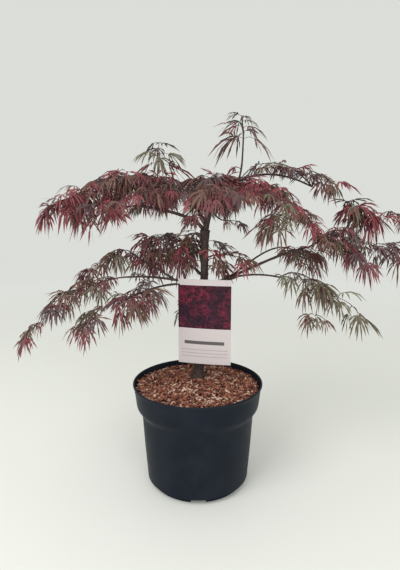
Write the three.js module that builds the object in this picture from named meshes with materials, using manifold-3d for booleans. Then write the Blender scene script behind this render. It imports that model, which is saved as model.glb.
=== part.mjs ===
// A young weeping laceleaf maple in a five-litre nursery pot, with its hanging card.
// Millimetres, +Z up. The origin is the middle of the pot's flat underside, front is -Y and right is +X.
// The pot holds bark-topped compost, the stem stands on that, thin boughs arch out of the stem,
// and each bough carries flat pads of drooping leaves.
import * as THREE from "three";
import { mergeVertices } from "three/addons/utils/BufferGeometryUtils.js";
import Module from "manifold-3d";

const wasm = await Module();
wasm.setup();

// ---------- driving dimensions ----------
const GAP = 0.35; // air left between two pieces that meet
const LEAF_GAP = 1; // and between two pads of leaves

const POT = {
  rimRadius: 112.5,
  height: 180,
  wall: 2,
  floor: 3,
  lip: 1.5, // how far the rolled lip stands out of the collar
  lipHeight: 4,
  collarFoot: { radius: 106.5, z: 140 }, // the collar narrows down to here,
  shoulder: { radius: 97, z: 122 }, // then steps in to the body
  heel: { radius: 86.5, z: 10 }, // and the body's foot is turned in
  baseRadius: 80,
  sides: 36,
};
const RECESS = { count: 5, first: 271, width: 24, depth: 9, height: 9, slotWidth: 12, slotHeight: 4 };
const SOIL = { edge: 170, mound: 8, sides: 36 };
const STEM = { footX: 0, footY: 18, forkX: 12, forkY: 0, fork: 441, radius: 6.2, flare: 8, sides: 10 };
const CARD = {
  width: 90,
  height: 145,
  thick: 0.9,
  top: 361,
  x: 11,
  y: -18,
  turn: -12, // degrees: its right side comes forward
  strapZ: 330,
  strapRadius: 11,
  strapTall: 6,
  strapThick: 1.2,
};

// Boughs, each one arch. It springs from the stem at height `z`, or from another bough at share `at`
// of that one's length. `azimuth` is where its tip points (0 right, 90 back, 180 left), `reach` how far
// out the tip is and `tip` how high. It sets off at `rise` degrees above level and `swing` degrees aside,
// and comes in at `fall` degrees below level; `shoulder` and `drape` are how much of its length it keeps
// each of those for. `bare` is the share of it with no leaves, and `thick` is its radius at the foot and
// where the leaves begin.
const BOUGHS = {
  leader: {
    z: 441, azimuth: 355, reach: 24, tip: 496, rise: 70, swing: 0, fall: -70,
    shoulder: 0.35, drape: 0.35, thick: [5.2, 4.2], bare: 0.7,
  },
  high_left_bough: {
    z: 452, azimuth: 185, reach: 248, tip: 463, rise: 66, swing: 6, fall: 41,
    shoulder: 0.45, drape: 0.45, thick: [2.8, 1.9], bare: 0.16,
  },
  under_left_bough: {
    z: 438, azimuth: 191, reach: 164, tip: 479, rise: 74, swing: 11, fall: 18,
    shoulder: 0.2, drape: 0.2, thick: [3, 2], bare: 0.66,
  },
  high_right_bough: {
    from: "leader", at: 0.92, azimuth: 4, reach: 352, tip: 449, rise: 39, swing: 15, fall: -4,
    shoulder: 0.55, drape: 0.32, thick: [2.4, 1.4], bare: 0.52,
  },
  mid_right_bough: {
    z: 345, azimuth: 357, reach: 345, tip: 400, rise: 17, swing: 5, fall: 20,
    shoulder: 0.32, drape: 0.5, thick: [3.2, 1.8], bare: 0.5,
  },
  upper_right_twin: {
    from: "mid_right_bough", at: 0.13, azimuth: 16, reach: 186, tip: 407, rise: 30, swing: 8, fall: 14,
    shoulder: 0.36, drape: 0.4, thick: [1.9, 1.3], bare: 0.76,
  },
  low_right_bough: {
    from: "mid_right_bough", at: 0.1, azimuth: 347, reach: 276, tip: 292, rise: 21, swing: -8, fall: 41,
    shoulder: 0.45, drape: 0.24, thick: [2, 1.3], bare: 0.38,
  },
  low_left_bough: {
    z: 348, azimuth: 190, reach: 290, tip: 256, rise: 14, swing: 0, fall: 50,
    shoulder: 0.5, drape: 0.46, thick: [2.8, 1.4], bare: 0.38,
  },
  left_fork: {
    from: "low_left_bough", at: 0.15, azimuth: 174, reach: 196, tip: 363, rise: 30, swing: -10, fall: 30,
    shoulder: 0.46, drape: 0.6, thick: [1.7, 1.3], bare: 0.36,
  },
  bottom_left_bough: {
    z: 344, azimuth: 203, reach: 208, tip: 276, rise: 20, swing: -18, fall: 44,
    shoulder: 0.34, drape: 0.3, thick: [2.4, 1.4], bare: 0.5,
  },
  back_bough: {
    z: 338, azimuth: 92, reach: 236, tip: 214, rise: 10, swing: 0, fall: 50,
    shoulder: 0.4, drape: 0.4, thick: [2.8, 1.6], bare: 0.4,
  },
  back_left_bough: {
    z: 362, azimuth: 128, reach: 178, tip: 372, rise: 34, swing: 10, fall: 26,
    shoulder: 0.4, drape: 0.4, thick: [2.2, 1.4], bare: 0.48,
  },
  back_right_fork: {
    from: "mid_right_bough", at: 0.48, azimuth: 34, reach: 292, tip: 352, rise: 4, swing: 30, fall: 34,
    shoulder: 0.35, drape: 0.4, thick: [1.5, 1.2], bare: 0.34,
  },
  top_shoot: {
    from: "leader", at: 0.97, azimuth: 0, reach: 74, tip: 606, rise: 20, swing: 0, fall: -88,
    shoulder: 0.45, drape: 0.72, thick: [1.9, 1.2], bare: 0.93,
  },
};

// Pads of leaves. Each follows its bough from one share of its length to another,
// or runs straight from `start` along `azimuth`, sinking by `sink`.
// `half` is half its width, `top` how far it stands over the twigs, `hang` how far its leaves hang
// and `aside` how far it sits to the left of its bough.
const PADS = {
  top_whorl: { start: [23, -4, 600], azimuth: 0, length: 102, sink: 8, half: 38, top: 28, hang: 32 },
  left_sprig_whorl: { start: [-106, 14, 562], azimuth: 0, length: 96, sink: 14, half: 34, top: 26, hang: 27 },

  crown_heart: { start: [-8, 0, 514], azimuth: 0, length: 92, sink: 4, half: 46, top: 22, hang: 54 },
  arch_inner: { start: [72, -14, 512], azimuth: 352, length: 72, sink: 18, half: 38, top: 16, hang: 36 },
  arch_middle: { start: [126, -22, 488], azimuth: 353, length: 82, sink: 70, half: 36, top: 8, hang: 38 },
  arch_outer: { start: [192, -28, 430], azimuth: 352, length: 90, sink: 58, half: 34, top: 14, hang: 32 },
  arch_spur: { start: [160, -60, 470], azimuth: 190, length: 78, sink: 34, half: 30, top: 12, hang: 34 },

  high_left_inner: { bough: "high_left_bough", from: 0.2, to: 0.47, half: 44, top: 13, hang: 50 },
  high_left_middle: { bough: "high_left_bough", from: 0.46, to: 0.68, half: 42, top: 12, hang: 52 },
  high_left_outer: { bough: "high_left_bough", from: 0.67, to: 0.87, half: 38, top: 12, hang: 58 },
  high_left_tip: { bough: "high_left_bough", from: 0.85, to: 1.03, half: 30, top: 12, hang: 28 },
  under_left_pad: { bough: "under_left_bough", from: 0.7, to: 1.12, half: 36, top: 8, hang: 46 },

  high_right_inner: { bough: "high_right_bough", from: 0.22, to: 0.47, half: 28, top: 28, hang: 8 },
  high_right_middle: { bough: "high_right_bough", from: 0.46, to: 0.7, half: 30, top: 38, hang: 14 },
  high_right_outer: { bough: "high_right_bough", from: 0.69, to: 0.88, half: 32, top: 20, hang: 38 },
  high_right_tip: { bough: "high_right_bough", from: 0.89, to: 1.04, half: 28, top: 26, hang: 14 },

  mid_right_inner: { bough: "mid_right_bough", from: 0.6, to: 0.76, half: 34, top: 34, hang: 24 },
  mid_right_outer: { bough: "mid_right_bough", from: 0.75, to: 1.05, half: 36, top: 15, hang: 42 },
  twin_pad: { bough: "upper_right_twin", from: 0.82, to: 1.32, half: 32, top: 6, hang: 40 },

  low_right_inner: { bough: "low_right_bough", from: 0.38, to: 0.7, half: 36, top: 28, hang: 32 },
  low_right_outer: { bough: "low_right_bough", from: 0.7, to: 1, half: 34, top: 22, hang: 26 },
  low_right_spray: { start: [164, -30, 304], azimuth: 350, length: 60, sink: 12, half: 22, top: 12, hang: 22 },

  mid_left_inner: { start: [0, 22, 416], azimuth: 165, length: 52, sink: -8, half: 32, top: 18, hang: 62 },
  mid_left_middle: { start: [-44, 34, 424], azimuth: 160, length: 58, sink: 10, half: 38, top: 18, hang: 62 },
  mid_left_outer: { bough: "left_fork", from: 0.4, to: 0.72, half: 34, top: 24, hang: 20 },
  mid_left_tip: { bough: "left_fork", from: 0.72, to: 1.08, half: 30, top: 12, hang: 30 },

  low_left_inner: { bough: "low_left_bough", from: 0.42, to: 0.62, half: 32, top: 10, hang: 34 },
  low_left_middle: { bough: "low_left_bough", from: 0.6, to: 0.84, half: 32, top: 24, hang: 34 },
  low_left_tip: { bough: "low_left_bough", from: 0.84, to: 1.04, half: 27, top: 14, hang: 20 },
  bottom_left_inner: { bough: "bottom_left_bough", from: 0.33, to: 0.68, half: 38, top: 12, hang: 54 },
  bottom_left_outer: { bough: "bottom_left_bough", from: 0.69, to: 1.02, half: 34, top: 20, hang: 26 },

  stem_spray: { start: [24, -6, 398], azimuth: 345, length: 66, sink: 10, half: 24, top: 14, hang: 26 },
  under_crown_spray: { start: [44, -16, 456], azimuth: 340, length: 40, sink: 10, half: 16, top: 10, hang: 26 },

  front_left_pad: { start: [-16, -46, 500], azimuth: 232, length: 150, sink: 22, half: 42, top: 14, hang: 24 },
  front_pad: { start: [22, -52, 502], azimuth: 272, length: 138, sink: 18, half: 42, top: 14, hang: 26 },
  front_right_pad: { start: [54, -48, 498], azimuth: 304, length: 124, sink: 22, half: 38, top: 14, hang: 22 },
  back_left_pad: { start: [-20, 50, 520], azimuth: 128, length: 160, sink: 44, half: 46, top: 16, hang: 40 },
  back_pad: { start: [24, 52, 524], azimuth: 86, length: 165, sink: 48, half: 46, top: 16, hang: 42 },
  back_right_pad: { start: [66, 44, 520], azimuth: 42, length: 160, sink: 44, half: 44, top: 16, hang: 40 },
  low_back_pad: { bough: "back_bough", from: 0.42, to: 1.02, half: 44, top: 16, hang: 46 },
  low_back_left_pad: { bough: "back_left_bough", from: 0.5, to: 1.02, half: 40, top: 18, hang: 40 },
  low_back_right_pad: { bough: "back_right_fork", from: 0.36, to: 1.02, half: 40, top: 14, hang: 40 },
};

// ---------- helpers ----------
const radians = THREE.MathUtils.degToRad;
const along = (degrees) => new THREE.Vector3(Math.cos(radians(degrees)), Math.sin(radians(degrees)), 0);

// A smooth unevenness between -1 and 1, the same for the same seed and place.
function ripple(seed, a, b) {
  return (Math.sin(seed * 12.9 + a * 5.1 + b * 3) + Math.sin(seed * 7.7 + a * 2.3 - b * 5)) / 2;
}

function solidOf(geometry) {
  const bare = geometry.clone();
  bare.deleteAttribute("normal");
  bare.deleteAttribute("uv");
  const merged = mergeVertices(bare, 1e-4);
  return new wasm.Manifold(
    new wasm.Mesh({
      numProp: 3,
      vertProperties: merged.attributes.position.array,
      triVerts: new Uint32Array(merged.index.array),
    }),
  );
}

function geometryOf(solid) {
  const mesh = solid.getMesh();
  const geometry = new THREE.BufferGeometry();
  geometry.setAttribute("position", new THREE.BufferAttribute(mesh.vertProperties, 3));
  geometry.setIndex(new THREE.BufferAttribute(mesh.triVerts, 1));
  geometry.computeVertexNormals();
  return geometry;
}

// A closed skin over rings of points, all with the same count, shut at each end by a fan round its middle.
function loftGeometry(rings, startPoint, endPoint) {
  const count = rings[0].length;
  const points = [startPoint, ...rings.flat(), endPoint];
  const last = points.length - 1;
  const index = [];
  for (let j = 0; j < count; j++) {
    const next = (j + 1) % count;
    index.push(0, 1 + next, 1 + j);
    for (let i = 0; i < rings.length - 1; i++) {
      const low = 1 + i * count;
      const high = low + count;
      index.push(low + j, low + next, high + next, low + j, high + next, high + j);
    }
    const top = 1 + (rings.length - 1) * count;
    index.push(last, top + j, top + next);
  }
  const geometry = new THREE.BufferGeometry().setFromPoints(points);
  geometry.setIndex(index);
  return geometry;
}

// A profile of [radius, height] pairs turned round the Z axis.
function turned(profile, sides) {
  const points = profile.map(([radius, z]) => new THREE.Vector2(radius, z));
  return solidOf(new THREE.LatheGeometry(points, sides).rotateX(Math.PI / 2));
}

// A box centred at x, y, z, turned about its own upright axis and then round the Z axis.
function block(width, depth, height, x, y, z, turn = 0, around = 0) {
  const geometry = new THREE.BoxGeometry(width, depth, height).rotateZ(radians(turn)).translate(x, y, z);
  return solidOf(geometry.rotateZ(radians(around)));
}

// ---------- pot and bark ----------
// The pot's outer radius at a height: body, shoulder, collar.
function potRadius(z) {
  const { rimRadius, height, collarFoot, shoulder, heel, baseRadius } = POT;
  const slope = (low, high) => low.radius + ((high.radius - low.radius) * (z - low.z)) / (high.z - low.z);
  if (z > collarFoot.z) return slope(collarFoot, { radius: rimRadius - POT.lip, z: height });
  if (z > shoulder.z) return slope(shoulder, collarFoot);
  if (z > heel.z) return slope(heel, shoulder);
  return slope({ radius: baseRadius, z: 0 }, heel);
}

// The space inside the pot, kept `inset` clear of its wall, up to a height.
function potSpace(inset, floor, top) {
  const across = (z) => potRadius(z) - POT.wall - inset;
  const heights = [floor, POT.heel.z, POT.shoulder.z, POT.collarFoot.z, top];
  return [[0, floor], ...heights.map((z) => [across(z), z])];
}

// The drainage recesses round the foot, grown by a margin.
function recesses(margin) {
  const { count, first, width, depth, height } = RECESS;
  const inner = POT.baseRadius - depth - margin;
  const reach = 40; // well past the outside of the pot
  const parts = [];
  const wide = width + 2 * margin;
  const tall = 2 * (height + margin);
  for (let i = 0; i < count; i++)
    parts.push(block(reach, wide, tall, inner + reach / 2, 0, 0, 0, first + (i * 360) / count));
  return wasm.Manifold.union(parts);
}

function potSolid() {
  const { rimRadius, height, lip, lipHeight, wall, floor } = POT;
  const lipFoot = height - lipHeight;
  const outside = turned(
    [
      [0, 0],
      [POT.baseRadius, 0],
      [POT.heel.radius, POT.heel.z],
      [POT.shoulder.radius, POT.shoulder.z],
      [POT.collarFoot.radius, POT.collarFoot.z],
      [potRadius(lipFoot), lipFoot],
      [rimRadius, lipFoot + lip],
      [rimRadius, height],
      [0, height],
    ],
    POT.sides,
  );
  const past = 5; // the space is cut a little past the rim
  const inside = turned([...potSpace(0, floor, height + past), [0, height + past]], POT.sides);
  const slots = [];
  const { slotWidth, slotHeight, first, count } = RECESS;
  const slotRadius = POT.baseRadius - RECESS.depth - wall / 2;
  const slotZ = floor + slotHeight / 2;
  for (let i = 0; i < count; i++)
    slots.push(block(wall * 3, slotWidth, slotHeight, slotRadius, 0, slotZ, 0, first + (i * 360) / count));
  return outside
    .subtract(recesses(0))
    .subtract(inside.subtract(recesses(wall)))
    .subtract(wasm.Manifold.union(slots));
}

// The ground the stem stands on: highest in the middle of the pot, and level there.
const groundZ = SOIL.edge + SOIL.mound;

function barkSolid() {
  const { edge, mound, sides } = SOIL;
  const profile = potSpace(GAP, POT.floor + GAP, edge);
  const rise = 0.7; // share of the way in at which the mound has reached most of its height
  profile.push([potRadius(edge) * rise, edge + mound * rise]);
  profile.push([STEM.footY * 2, groundZ]);
  profile.push([0, groundZ]);
  return turned(profile, sides).subtract(recesses(POT.wall + GAP));
}

// ---------- stem and boughs ----------
// The middle of the stem at a height. It leans forward and to the right, more at the foot than higher up.
function stemAt(z) {
  const left = 1 - (z - groundZ) / (STEM.fork - groundZ);
  const lag = left * left;
  return new THREE.Vector3(
    STEM.forkX + (STEM.footX - STEM.forkX) * lag,
    STEM.forkY + (STEM.footY - STEM.forkY) * lag,
    z,
  );
}

function stemRadius(z) {
  const up = z - groundZ;
  const fork = Math.max(0, 1 - (STEM.fork - z) / 30); // it swells just under the fork
  return STEM.radius + 1.6 * (1 - up / (STEM.fork - groundZ)) + STEM.flare * Math.exp(-up / 9) + 1.6 * fork;
}

function stemSolid(margin) {
  const rings = [];
  const foot = groundZ + GAP - margin;
  const heights = [foot, 4, 10, 20, 45, 90, 135, 180, 220, 246, STEM.fork - groundZ + margin];
  heights.forEach((up, i) => {
    const z = i ? groundZ + up : foot;
    const middle = stemAt(z);
    const ring = [];
    for (let j = 0; j < STEM.sides; j++) {
      const angle = (j * 2 * Math.PI) / STEM.sides;
      const ridges = 1 + 0.16 * Math.exp(-(z - groundZ) / 14) * Math.cos(3 * angle + 0.6); // three roots
      const radius = (stemRadius(z) + margin) * ridges * (1 + 0.03 * ripple(2, angle, z / 20));
      const offset = new THREE.Vector3(radius * Math.cos(angle), radius * Math.sin(angle), 0);
      ring.push(middle.clone().add(offset));
    }
    rings.push(ring);
  });
  return solidOf(loftGeometry(rings, stemAt(foot), stemAt(STEM.fork + margin)));
}

const routes = {};

// The line that a bough follows, as a function of its share 0 to 1; past 1 it runs straight on.
function routeOf(name) {
  if (routes[name]) return routes[name];
  const b = BOUGHS[name];
  const foot = b.from ? routeOf(b.from)(b.at) : stemAt(b.z);
  const tip = along(b.azimuth).multiplyScalar(b.reach).setZ(b.tip);
  const length = foot.distanceTo(tip);
  const tilted = (azimuth, degrees) =>
    along(azimuth).multiplyScalar(Math.cos(radians(degrees))).setZ(Math.sin(radians(degrees)));
  const first = foot.clone().addScaledVector(tilted(b.azimuth + b.swing, b.rise), b.shoulder * length);
  const second = tip.clone().addScaledVector(tilted(b.azimuth, -b.fall), -b.drape * length);
  const curve = new THREE.CubicBezierCurve3(foot, first, second, tip);
  const end = curve.getTangent(1).multiplyScalar(length);
  routes[name] = (share) =>
    share <= 1 ? curve.getPointAt(share) : tip.clone().addScaledVector(end, share - 1);
  return routes[name];
}

function boughSolid(name, margin) {
  const { thick, bare } = BOUGHS[name];
  const route = routeOf(name);
  const sides = 6;
  const steps = 7;
  const rings = [];
  const middles = [];
  for (let i = 0; i <= steps; i++) {
    const share = (bare * i) / steps;
    const middle = route(share);
    const ahead = route(share + 0.01).sub(middle).normalize();
    const side = new THREE.Vector3(-ahead.y, ahead.x, 0).normalize();
    const up = new THREE.Vector3().crossVectors(ahead, side);
    const radius = margin + thick[0] + (thick[1] - thick[0]) * Math.pow(i / steps, 0.7);
    const ring = [];
    for (let j = 0; j < sides; j++) {
      const angle = (j * 2 * Math.PI) / sides;
      const point = middle.clone().addScaledVector(side, radius * Math.cos(angle));
      ring.push(point.addScaledVector(up, radius * Math.sin(angle)));
    }
    rings.push(ring);
    middles.push(middle);
  }
  return solidOf(loftGeometry(rings, middles[0], middles[steps]));
}

// ---------- pads of leaves ----------
function padSolid(name, seed, margin) {
  const p = PADS[name];
  const route = p.bough && routeOf(p.bough);
  const start = p.start && new THREE.Vector3(...p.start);
  const straight = p.start && along(p.azimuth).multiplyScalar(p.length);
  // The twig line inside the pad. A free pad sinks slowly at first and faster at its end.
  const spine = (u) =>
    route
      ? route(p.from + (p.to - p.from) * u)
      : start.clone().addScaledVector(straight, u).add(new THREE.Vector3(0, 0, -p.sink * u * u));
  const steps = 7;
  const sides = 8;
  const rings = [];
  for (let i = 1; i < steps; i++) {
    const u = (1 - Math.cos((Math.PI * i) / steps)) / 2; // closer together at the ends
    const full = Math.pow(1 - Math.pow(Math.abs(2 * u - 1), 2.4), 0.55); // blunt ends
    const middle = spine(u);
    const ahead = spine(u + 0.02).sub(middle).setZ(0).normalize();
    const side = new THREE.Vector3(-ahead.y, ahead.x, 0);
    const ring = [];
    for (let j = 0; j < sides; j++) {
      const angle = (j * 2 * Math.PI) / sides;
      const across = Math.cos(angle);
      const lift = Math.sin(angle);
      const wide = p.half * (1 + 0.14 * ripple(seed, u * 3, angle)) * full;
      const above = p.top * (1 + 0.12 * ripple(seed + 1, u * 4, angle)) * full;
      const below = p.hang * (1 + 0.2 * ripple(seed + 2, u * 5, angle)) * full;
      const point = middle.clone().addScaledVector(side, across * wide + Math.sign(across) * margin);
      point.z += lift * (lift > 0 ? above : below) + Math.sign(lift) * margin;
      ring.push(point);
    }
    rings.push(ring);
  }
  const out = (u) => spine(u).add(new THREE.Vector3(0, 0, (p.top - p.hang) * 0.1));
  const nudge = spine(0.02).sub(spine(0)).normalize().multiplyScalar(margin);
  return solidOf(loftGeometry(rings, out(0).sub(nudge), out(1).add(nudge)));
}

// ---------- hanging card ----------
// A stiff card with a strap that closes round the stem behind it.
function cardSolid(margin) {
  const { width, height, thick, top, x, y, turn, strapZ, strapRadius, strapTall, strapThick } = CARD;
  const extra = 2 * margin;
  const card = block(width + extra, thick + extra, height + extra, x, y, top - height / 2, turn);
  const middle = stemAt(strapZ);
  const half = strapTall / 2 + margin;
  const inner = strapRadius - margin;
  const outer = strapRadius + strapThick + margin;
  const ring = turned(
    [
      [inner, -half],
      [outer, -half],
      [outer, half],
      [inner, half],
      [inner, -half],
    ],
    24,
  ).translate([middle.x, middle.y, strapZ]);
  const tabStart = middle.y - strapRadius - strapThick / 2;
  const tabEnd = y + (middle.x - x) * Math.tan(radians(turn));
  const tab = block(strapTall, tabStart - tabEnd, strapTall, middle.x, (tabStart + tabEnd) / 2, strapZ);
  return wasm.Manifold.union([card, ring, tab]);
}

// ---------- assembly ----------
const COLOURS = {
  pot: { color: 0x23262c, roughness: 0.45 },
  bark_mulch: { color: 0x8a5546, roughness: 0.95 },
  wood: { color: 0x3a2a24, roughness: 0.8 },
  leaf: { color: 0x6e2f35, roughness: 0.7 },
  card: { color: 0xded6d6, roughness: 0.4 },
};

const taken = []; // grown copies of what is already placed

function place(group, name, solid, look, grown = null) {
  const material = new THREE.MeshStandardMaterial({ ...COLOURS[look], metalness: 0 });
  const mesh = new THREE.Mesh(geometryOf(solid), material);
  mesh.name = name;
  group.add(mesh);
  if (grown) taken.push(grown);
}

// What is left of a solid once the pieces before it have had their place: its largest body.
function fitted(solid) {
  const left = taken.reduce((rest, piece) => rest.subtract(piece), solid);
  return left.decompose().sort((a, b) => b.volume() - a.volume())[0];
}

const container = new THREE.Group();
place(container, "pot", potSolid(), "pot");
place(container, "bark_mulch", barkSolid(), "bark_mulch");

const limbs = new THREE.Group();
place(limbs, "trunk", stemSolid(0), "wood", stemSolid(GAP));
place(limbs, "hanging_card", cardSolid(0), "card", cardSolid(GAP));
for (const name of Object.keys(BOUGHS))
  place(limbs, name, fitted(boughSolid(name, 0)), "wood", boughSolid(name, GAP));

const crown = new THREE.Group();
Object.keys(PADS).forEach((name, i) => {
  place(crown, name, fitted(padSolid(name, i + 1, 0)), "leaf", padSolid(name, i + 1, LEAF_GAP));
});

const maple = new THREE.Group();
maple.add(container, limbs, crown);

export default maple;
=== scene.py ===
import math

import bpy
import numpy as np
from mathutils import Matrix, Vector
from mathutils.bvhtree import BVHTree


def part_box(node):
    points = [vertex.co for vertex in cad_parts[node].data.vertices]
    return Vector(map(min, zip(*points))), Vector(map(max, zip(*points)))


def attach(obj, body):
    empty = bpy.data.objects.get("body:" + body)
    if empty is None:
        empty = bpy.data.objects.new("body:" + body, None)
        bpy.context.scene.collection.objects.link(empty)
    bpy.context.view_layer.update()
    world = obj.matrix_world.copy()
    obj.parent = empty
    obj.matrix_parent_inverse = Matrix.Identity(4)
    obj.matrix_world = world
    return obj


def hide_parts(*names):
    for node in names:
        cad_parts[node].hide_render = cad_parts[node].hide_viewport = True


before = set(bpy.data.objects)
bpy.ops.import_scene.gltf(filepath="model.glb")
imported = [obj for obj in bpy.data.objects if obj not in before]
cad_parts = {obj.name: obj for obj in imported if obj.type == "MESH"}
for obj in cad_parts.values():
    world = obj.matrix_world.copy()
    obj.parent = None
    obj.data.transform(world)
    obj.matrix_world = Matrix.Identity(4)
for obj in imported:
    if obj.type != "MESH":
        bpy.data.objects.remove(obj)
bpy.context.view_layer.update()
mm = 0.001
dice = np.random.default_rng(31)
up = np.array([0.0, 0.0, 1.0])


def linear(hexColour):
    # sRGB hex to linear light
    c = np.array([int(hexColour[i : i + 2], 16) for i in (1, 3, 5)]) / 255
    return (*np.where(c <= 0.04045, c / 12.92, ((c + 0.055) / 1.055) ** 2.4), 1.0)


def unit(v):
    return v / np.maximum(np.linalg.norm(v, axis=-1, keepdims=True), 1e-12)


def heading(azimuth, rise):
    # unit vectors from angles in radians: azimuth round from +X, rise above level
    azimuth, rise = np.broadcast_arrays(azimuth, rise)
    return np.stack([np.cos(rise) * np.cos(azimuth), np.cos(rise) * np.sin(azimuth), np.sin(rise)], -1)


def leaningAxes(ahead, lean):
    # the directions square to each heading, level and upward, then turned about it by the lean
    side = unit(np.cross(up, ahead))
    over = np.cross(ahead, side)
    cos, sin = np.cos(lean)[:, None], np.sin(lean)[:, None]
    return side * cos + over * sin, over * cos - side * sin


def ringAngles(count):
    return np.arange(count) * 2 * math.pi / count


def runLength(line):
    # how far along a line each of its points is
    return np.concatenate([[0], np.cumsum(np.linalg.norm(np.diff(line, axis=0), axis=1))])


def smoothLine(points, count):
    # a curve through the points (Catmull-Rom), then spaced evenly along its length
    p = np.asarray(points)
    p = np.vstack([2 * p[0] - p[1], p, 2 * p[-1] - p[-2]])
    t = np.linspace(0, len(p) - 3 - 1e-9, 12 * (len(p) - 3) + 1)
    i = t.astype(int)
    f = (t - i)[:, None]
    a, b, c, d = p[i], p[i + 1], p[i + 2], p[i + 3]
    fine = b + 0.5 * f * (c - a + f * (2 * a - 5 * b + 4 * c - d + f * (3 * (b - c) + d - a)))
    run = runLength(fine)
    at = np.linspace(0, run[-1], count)
    return np.stack([np.interp(at, run, fine[:, k]) for k in range(3)], -1)


def gridFaces(rows, columns):
    # quads of a grid whose columns close into a ring
    r = np.arange(rows - 1)[:, None] * columns
    c = np.arange(columns)[None]
    n = (c + 1) % columns
    return np.stack([r + c, r + n, r + columns + n, r + columns + c], -1).reshape(-1, 4)


def fanFaces(apex, first, count, flip=False):
    # triangles from one vertex to the ring of vertices that begins at the first
    c = np.arange(count)
    d = (c + 1) % count
    if flip:
        c, d = d, c
    return np.stack([np.full(count, apex), first + c, first + d], -1)


def skinFaces(rows, columns):
    # a grid of rings closed by a fan at each end; the ends' two vertices come after the grid's
    count = rows * columns
    fans = [fanFaces(count, 0, columns, True), fanFaces(count + 1, count - columns, columns)]
    return [gridFaces(rows, columns), np.concatenate(fans)]


def repeatFaces(faces, copies, stride):
    return (faces[None] + np.arange(copies)[:, None, None] * stride).reshape(-1, faces.shape[1])


def addObject(name, data):
    made = bpy.data.objects.new(name, data)
    bpy.context.scene.collection.objects.link(made)
    return made


def meshPiece(name, points, faceSets, materials, picks=None, smooth=True):
    # face sets are arrays of vertex numbers, three or four to a face; picks are the faces' materials
    mesh = bpy.data.meshes.new(name)
    points = np.asarray(points, dtype=float).reshape(-1, 3)
    corners = np.concatenate([f.ravel() for f in faceSets])
    sizes = np.concatenate([np.full(len(f), f.shape[1]) for f in faceSets])
    mesh.vertices.add(len(points))
    mesh.vertices.foreach_set("co", points.ravel())
    mesh.loops.add(len(corners))
    mesh.loops.foreach_set("vertex_index", corners)
    mesh.polygons.add(len(sizes))
    mesh.polygons.foreach_set("loop_start", np.cumsum(sizes) - sizes)
    mesh.update(calc_edges=True)
    mesh.polygons.foreach_set("use_smooth", np.full(len(sizes), smooth))
    for material in materials:
        mesh.materials.append(material)
    if picks is not None:
        mesh.polygons.foreach_set("material_index", picks)
    made = addObject(name, mesh)
    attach(made, "root")
    return made


def tubes(paths, radii, sides):
    # round skins over lines: each ring is centre + radius * (cos a * side + sin a * other),
    # with a cone's point closing each end; radii may change round the ring
    n, k = paths.shape[:2]
    along = unit(np.gradient(paths, axis=1))
    chord = unit(paths[:, -1] - paths[:, 0])
    guide = unit(np.cross(chord, np.where(np.abs(chord[:, 2:]) > 0.9, [1.0, 0, 0], up)))
    side = unit(guide[:, None] - along * np.sum(guide[:, None] * along, -1, keepdims=True))
    other = np.cross(along, side)
    a = ringAngles(sides)
    radii = np.broadcast_to(radii if radii.ndim == 3 else radii[..., None], (n, k, sides))
    ring = np.cos(a)[:, None] * side[:, :, None] + np.sin(a)[:, None] * other[:, :, None]
    skin = paths[:, :, None] + radii[..., None] * ring
    ends = np.stack([paths[:, 0], paths[:, -1]], 1)
    points = np.concatenate([skin.reshape(n, -1, 3), ends], 1)
    return points, [repeatFaces(faces, n, k * sides + 2) for faces in skinFaces(k, sides)]


# A node's result is handed on as (node, output).
def addNode(kind, settings, links):
    # a lower-case key is the node's own setting, any other is a socket
    tree = next(iter(links.values()))[0].id_data
    made = tree.nodes.new(kind)
    for key, value in settings.items():
        if isinstance(key, str) and key[0].islower():
            setattr(made, key, value)
        else:
            made.inputs[key].default_value = value
    for key, result in links.items():
        wire(result, made, key)
    return made


def wire(result, node, socket):
    source, output = result
    node.id_data.links.new(source.outputs[output], node.inputs[socket])


def addNoise(place, grain, detail=2.0, roughness=0.5):
    # noise whose blotches are about one grain across, in millimetres
    settings = {"Scale": 1 / (grain * mm), "Detail": detail, "Roughness": roughness}
    return addNode("ShaderNodeTexNoise", settings, {"Vector": place}), "Fac"


def addRange(value, low, high, first=0.0, last=1.0):
    # values from low to high are spread from first to last
    settings = {"From Min": low, "From Max": high, "To Min": first, "To Max": last}
    return addNode("ShaderNodeMapRange", settings, {"Value": value}), "Result"


def mixColours(factor, first, second):
    # a colour is a hex text or another node's result
    settings, links = {"data_type": "RGBA"}, {0: factor}
    for key, colour in ((6, first), (7, second)):
        if isinstance(colour, str):
            settings[key] = linear(colour)
        else:
            links[key] = colour
    return addNode("ShaderNodeMix", settings, links), 2


def addBump(shader, height, strength, depth):
    # a texture raises the surface; the depth is in millimetres
    bump = addNode("ShaderNodeBump", {"Strength": strength, "Distance": depth * mm}, {"Height": height})
    wire((bump, "Normal"), shader, "Normal")


def startMaterial(name, colour, roughness, ior=1.5, specular=0.5):
    made = bpy.data.materials.new(name)
    made.use_nodes = True
    nodes = made.node_tree.nodes
    shader = nodes["Principled BSDF"]
    look = {"Base Color": linear(colour), "Roughness": roughness, "IOR": ior, "Specular IOR Level": specular}
    for key, value in look.items():
        shader.inputs[key].default_value = value
    return made, shader, (nodes.new("ShaderNodeTexCoord"), "Object")


def potPlastic():
    # black polypropylene, injection moulded: a fine satin grain with rubbed and dusty patches
    made, shader, place = startMaterial("black polypropylene, moulded", "#151a22", 0.45, 1.49, 0.09)
    dust = addNoise(place, 45, 5.0, 0.6)
    wire(mixColours(addRange(dust, 0.42, 0.75, 0.0, 0.55), "#141a23", "#242931"), shader, "Base Color")
    wire(addRange(dust, 0.3, 0.7, 0.36, 0.56), shader, "Roughness")
    addBump(shader, addNoise(place, 0.8), 0.12, 0.2)
    return made


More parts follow.
